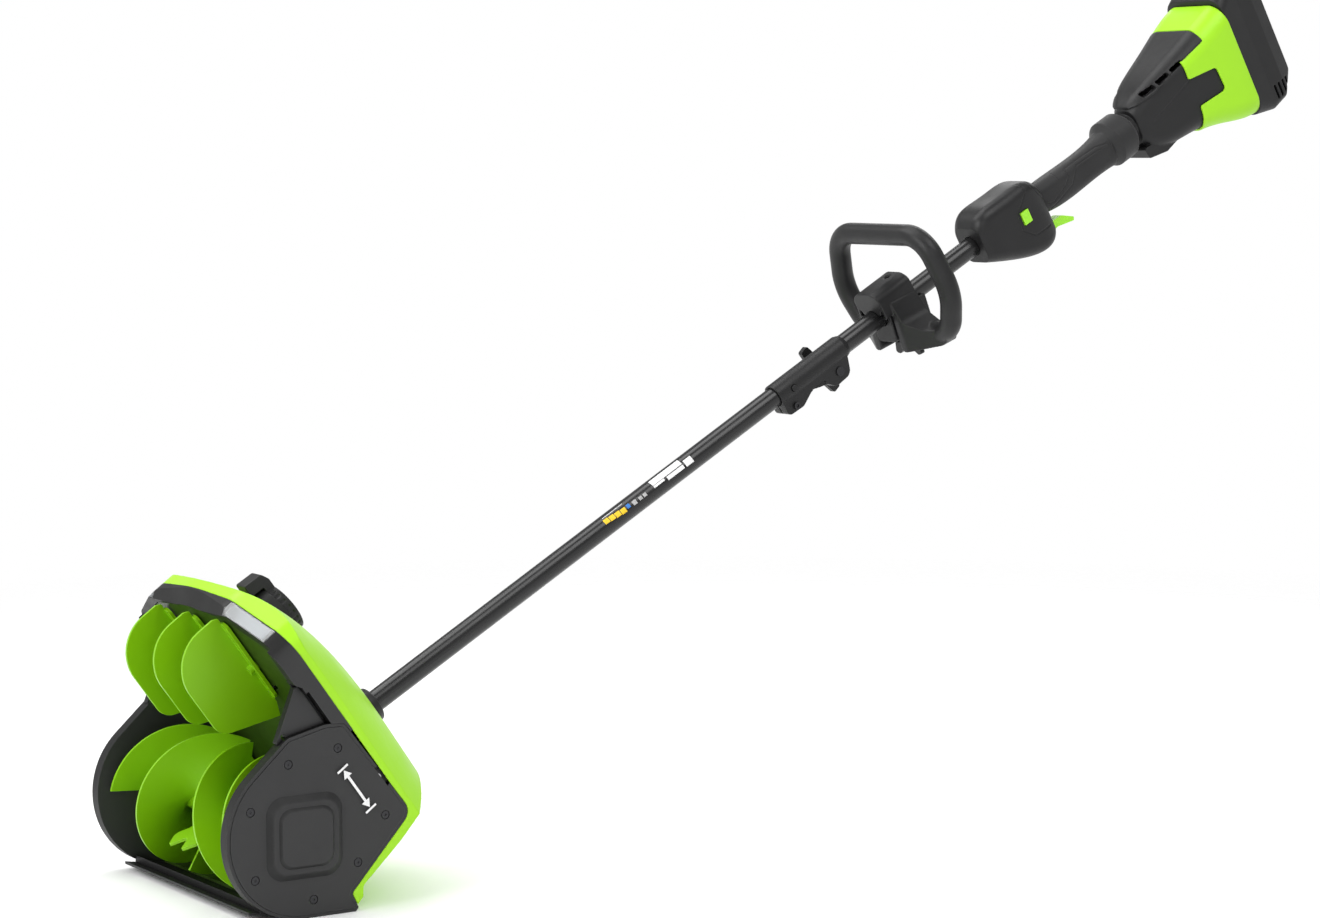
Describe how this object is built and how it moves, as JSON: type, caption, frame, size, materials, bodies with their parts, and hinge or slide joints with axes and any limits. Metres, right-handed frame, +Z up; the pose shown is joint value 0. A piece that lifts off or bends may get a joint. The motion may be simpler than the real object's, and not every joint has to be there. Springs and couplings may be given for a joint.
{
  "type": "cordless snow shovel",
  "caption": "Battery snow shovel: powered auger head with tilting vanes, long two-piece shaft, sliding loop handle, trigger grip and flared motor housing with a slide-in battery.",
  "frame": {"origin": "centre of the rear grip, on the tube's axis", "axes": "+Z up, the auger mouth faces -Y, +X is the side that carries the belt drive; the head's base is level and the tube rises rearwards at about 30 degrees"},
  "size_m": [0.3562, 1.6422, 1.0739],
  "materials": {
    "lime_plastic": "moulded, fine satin grain",
    "green_plastic": "moulded, glossy",
    "cover_plastic": "moulded, matt grain",
    "black_plastic": "moulded, satin grain",
    "grip_rubber": "soft overmould",
    "green_button": "moulded, satin",
    "belt_rubber": "ribbed drive belt",
    "black_tube": "gloss black paint",
    "steel": "zinc-plated or ground",
    "cast_alloy": "die cast",
    "contact_brass": "plated contacts",
    "circuit_board": "lacquered board",
    "clear_lens": "clear polycarbonate"
  },
  "bodies": {
    "machine": {"outer_shell": "lime_plastic", "head_frame": "cover_plastic", "auger_housing": "green_plastic", "hood_liner": "green_plastic", "side_cover_left": "cover_plastic", "side_cover_right": "cover_plastic", "cover_screws": "steel", "scraper_bar": "black_plastic", "scraper_screws": "steel", "lamp_lenses": "clear_lens", "lamp_boards": "circuit_board", "knob_seat": "black_plastic", "head_bearings": "steel", "drive_belt": "belt_rubber", "gear_case": "cast_alloy", "shaft_collar": "black_plastic", "lower_tube": "black_tube", "upper_tube": "black_tube", "rod_bushes": "black_plastic", "coupler_sleeve": "black_plastic", "coupler_bolts": "steel", "switch_housing_left": "black_plastic", "switch_housing_right": "black_plastic", "trigger_switch": "black_plastic", "trigger_pin": "steel", "rear_grip": "grip_rubber", "motor_housing_left": "black_plastic", "motor_housing_right": "black_plastic", "rear_saddle_cover": "lime_plastic", "motor_stator": "steel", "battery_dock": "black_plastic", "battery_terminals": "contact_brass", "control_board": "circuit_board"},
    "auger": {"auger_flights": "green_plastic", "auger_paddles": "green_plastic", "auger_shaft": "steel", "auger_pulley": "black_plastic"},
    "cross_drive": {"cross_shaft": "steel", "bevel_gear": "steel", "drive_pulley": "black_plastic"},
    "lower_drive": {"lower_drive_rod": "steel", "bevel_pinion": "steel"},
    "upper_drive": {"upper_drive_rod": "steel", "motor_rotor": "steel", "motor_fan": "black_plastic"},
    "centre_vane": {"vane_centre": "green_plastic", "vane_knob": "black_plastic"},
    "tie_bar": {"tie_bar": "black_plastic", "tie_pins": "steel"},
    "left_vane": {"vane_left": "green_plastic"},
    "right_vane": {"vane_right": "green_plastic"},
    "loop_handle": {"handle_loop": "black_plastic", "handle_cap": "black_plastic"},
    "handle_knob": {"handle_wing_knob": "black_plastic"},
    "clamp_knob": {"coupler_knob": "black_plastic"},
    "tube_button": {"lock_button": "black_plastic"},
    "trigger": {"trigger": "green_button"},
    "safety_button": {"lock_out_button": "green_button"},
    "battery": {"battery_pack": "black_plastic"},
    "battery_catch": {"battery_latch": "black_plastic"}
  },
  "joints": [
    {"name": "auger_spin", "type": "hinge", "parent": "machine", "child": "auger", "pos_m": [0, -1.20562, -0.69711], "axis": [1, 0, 0], "continuous": true},
    {"name": "cross_spin", "type": "hinge", "parent": "machine", "child": "cross_drive", "pos_m": [0, -1.11251, -0.64492], "axis": [1, 0, 0], "continuous": true},
    {"name": "lower_drive_spin", "type": "hinge", "parent": "machine", "child": "lower_drive", "pos_m": [0, -1.03732, -0.60131], "axis": [0, 0.8652, 0.5015], "continuous": true},
    {"name": "upper_drive_spin", "type": "hinge", "parent": "machine", "child": "upper_drive", "pos_m": [0, 0.08738, 0.05065], "axis": [0, 0.8652, 0.5015], "continuous": true},
    {"name": "vane_swing", "type": "hinge", "parent": "machine", "child": "centre_vane", "pos_m": [0, -1.20943, -0.52683], "axis": [0, 0.809, 0.5878], "range_deg": [-25, 25]},
    {"name": "tie_bar_pivot", "type": "hinge", "parent": "centre_vane", "child": "tie_bar", "pos_m": [0, -1.18437, -0.54942], "axis": [0, 0.809, 0.5878], "range_deg": [-25, 25]},
    {"name": "left_vane_swing", "type": "hinge", "parent": "machine", "child": "left_vane", "pos_m": [0.07, -1.20943, -0.52683], "axis": [0, 0.809, 0.5878], "range_deg": [-25, 25]},
    {"name": "right_vane_swing", "type": "hinge", "parent": "machine", "child": "right_vane", "pos_m": [-0.07, -1.20943, -0.52683], "axis": [0, 0.809, 0.5878], "range_deg": [-25, 25]},
    {"name": "handle_slide", "type": "slide", "parent": "machine", "child": "loop_handle", "axis": [0, 0.8652, 0.5015], "range_m": [-0.04, 0.06]},
    {"name": "handle_knob_turn", "type": "hinge", "parent": "loop_handle", "child": "handle_knob", "pos_m": [0, -0.26458, -0.20932], "axis": [0, -0.3762, 0.9265], "range_deg": [0, 360]},
    {"name": "clamp_knob_turn", "type": "hinge", "parent": "machine", "child": "clamp_knob", "pos_m": [-0.02, -0.37929, -0.24298], "axis": [1, 0, 0], "range_deg": [0, 360]},
    {"name": "tube_button_press", "type": "slide", "parent": "machine", "child": "tube_button", "axis": [-1, 0, 0], "range_m": [0, 0.004], "stiffness_N_per_m": 400},
    {"name": "trigger_pull", "type": "hinge", "parent": "machine", "child": "trigger", "pos_m": [0, -0.06099, -0.08621], "axis": [1, 0, 0], "range_deg": [0, 8], "stiffness_Nm_per_rad": 0.6},
    {"name": "safety_button_press", "type": "slide", "parent": "machine", "child": "safety_button", "axis": [-1, 0, 0], "range_m": [0, 0.003], "stiffness_N_per_m": 400},
    {"name": "battery_slide", "type": "slide", "parent": "machine", "child": "battery", "axis": [0, -0.5015, 0.8652], "range_m": [0, 0.095]},
    {"name": "battery_catch_press", "type": "slide", "parent": "battery", "child": "battery_catch", "axis": [0, 0.5015, -0.8652], "range_m": [0, 0.004], "stiffness_N_per_m": 500}
  ],
  "couplings": [
    {"joint": "cross_spin", "follows": "auger_spin", "ratio": 3.3333},
    {"joint": "lower_drive_spin", "follows": "auger_spin", "ratio": -5},
    {"joint": "upper_drive_spin", "follows": "auger_spin", "ratio": -5},
    {"joint": "tie_bar_pivot", "follows": "vane_swing", "ratio": -1},
    {"joint": "left_vane_swing", "follows": "vane_swing", "ratio": 1},
    {"joint": "right_vane_swing", "follows": "vane_swing", "ratio": 1}
  ]
}
